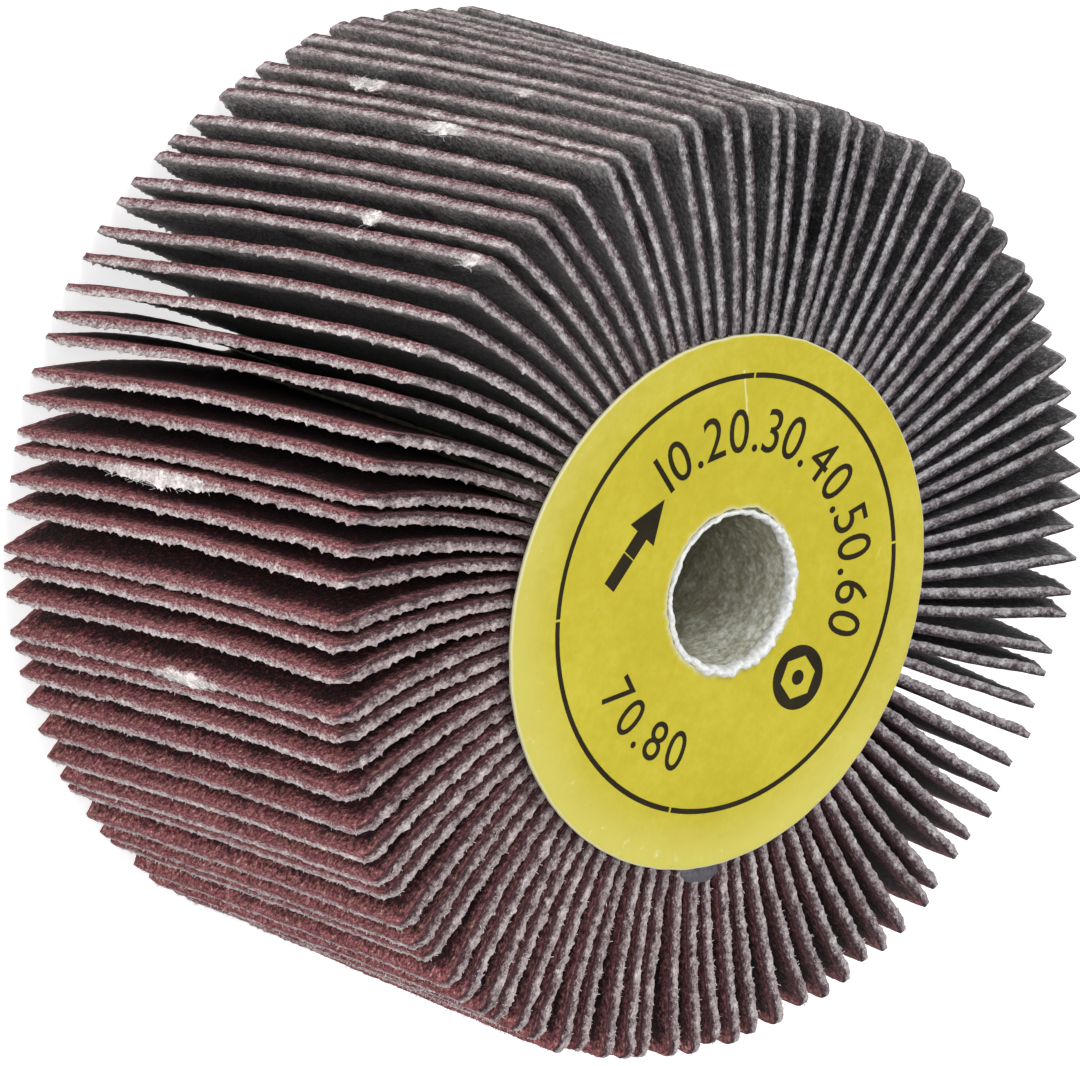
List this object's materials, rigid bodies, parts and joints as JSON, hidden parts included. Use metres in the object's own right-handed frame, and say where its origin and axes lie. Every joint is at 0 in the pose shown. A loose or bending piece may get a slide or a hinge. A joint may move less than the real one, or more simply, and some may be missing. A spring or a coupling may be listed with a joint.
{
  "type": "flap wheel",
  "caption": "Abrasive flap wheel: leaves of coated cloth cast by their roots into a round resin core with a through bore, and a paper disc on the front.",
  "frame": {"origin": "centre of the bore at the rear face, which the wheel lies on", "axes": "+Z along the bore, towards the paper disc on the front; +X and +Y in the rear face"},
  "size_m": [0.0601, 0.0601, 0.0336],
  "materials": {
    "cast_resin": "rough cast",
    "printed_paper": "satin, printed",
    "coated_cloth": "abrasive grain on one face, cloth on the other"
  },
  "bodies": {
    "root": {"resin_core": "cast_resin", "paper_disc": "printed_paper", "flap_pair_01": "coated_cloth", "flap_pair_02": "coated_cloth", "flap_pair_03": "coated_cloth", "flap_pair_04": "coated_cloth", "flap_pair_05": "coated_cloth", "flap_pair_06": "coated_cloth", "flap_pair_07": "coated_cloth", "flap_pair_08": "coated_cloth", "flap_pair_09": "coated_cloth", "flap_pair_10": "coated_cloth", "flap_pair_11": "coated_cloth", "flap_pair_12": "coated_cloth", "flap_pair_13": "coated_cloth", "flap_pair_14": "coated_cloth", "flap_pair_15": "coated_cloth", "flap_pair_16": "coated_cloth", "flap_pair_17": "coated_cloth", "flap_pair_18": "coated_cloth", "flap_pair_19": "coated_cloth", "flap_pair_20": "coated_cloth", "flap_pair_21": "coated_cloth", "flap_pair_22": "coated_cloth", "flap_pair_23": "coated_cloth", "flap_pair_24": "coated_cloth", "flap_pair_25": "coated_cloth", "flap_pair_26": "coated_cloth", "flap_pair_27": "coated_cloth", "flap_pair_28": "coated_cloth", "flap_pair_29": "coated_cloth", "flap_pair_30": "coated_cloth", "flap_pair_31": "coated_cloth", "flap_pair_32": "coated_cloth", "flap_pair_33": "coated_cloth", "flap_pair_34": "coated_cloth", "flap_pair_35": "coated_cloth", "flap_pair_36": "coated_cloth", "flap_pair_37": "coated_cloth", "flap_pair_38": "coated_cloth", "flap_pair_39": "coated_cloth", "flap_pair_40": "coated_cloth", "flap_pair_41": "coated_cloth", "flap_pair_42": "coated_cloth", "flap_pair_43": "coated_cloth", "flap_pair_44": "coated_cloth", "flap_pair_45": "coated_cloth", "flap_pair_46": "coated_cloth", "flap_pair_47": "coated_cloth", "flap_pair_48": "coated_cloth", "flap_pair_49": "coated_cloth"}
  },
  "joints": []
}
